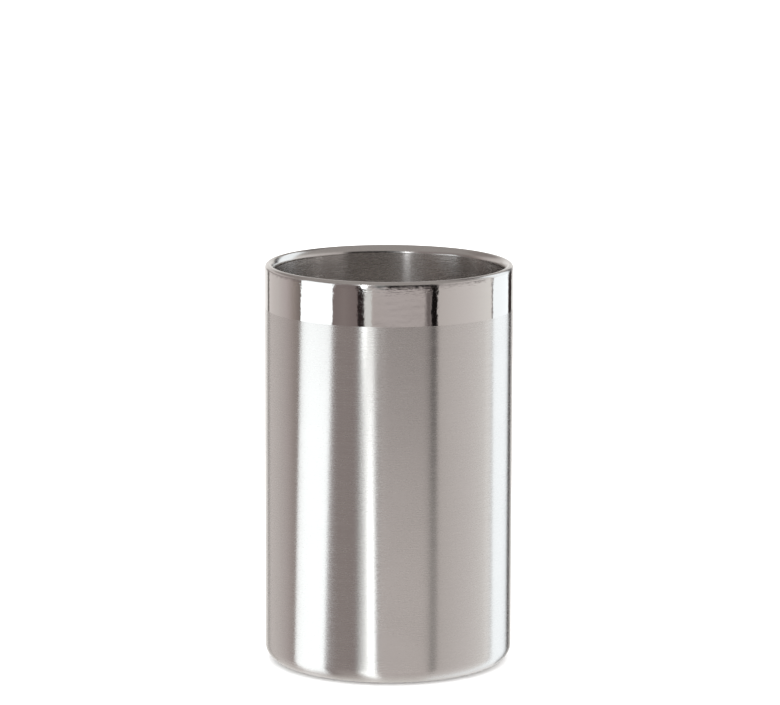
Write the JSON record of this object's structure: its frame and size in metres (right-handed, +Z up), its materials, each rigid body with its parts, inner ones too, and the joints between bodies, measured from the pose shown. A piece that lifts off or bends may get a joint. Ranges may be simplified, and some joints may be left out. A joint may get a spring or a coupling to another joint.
{
  "type": "wine bottle cooler",
  "caption": "Tabletop double-wall stainless steel wine bottle cooler: brushed straight cylinder with a rounded bottom edge, a polished band and a smooth flared rim.",
  "frame": {"origin": "on the Z axis of symmetry, in the plane that the foot ring stands on", "axes": "+Z up along the cylinder's axis, out of the open mouth; the shell's weld seam faces +Y, which is the back"},
  "size_m": [0.12, 0.12, 0.195],
  "materials": {
    "shell_steel": "brushed round the axis, with a mirror polished band under the rim",
    "liner_steel": "satin inside, polished on the rim",
    "polished_steel": "mirror polished",
    "weld_steel": "as welded, brushed clean",
    "base_steel": "matt, as rolled and pressed",
    "foot_rubber": "matt black",
    "plug_rubber": "satin dark grey",
    "foam": "closed-cell foam, off white"
  },
  "bodies": {
    "root": {"outer_shell": "shell_steel", "inner_liner": "liner_steel", "rim_weld": "polished_steel", "shell_seam_bead": "weld_steel", "base_plate": "base_steel", "base_weld": "weld_steel", "foot_ring": "foot_rubber", "vent_plug": "plug_rubber", "support_pad": "foam"}
  },
  "joints": []
}
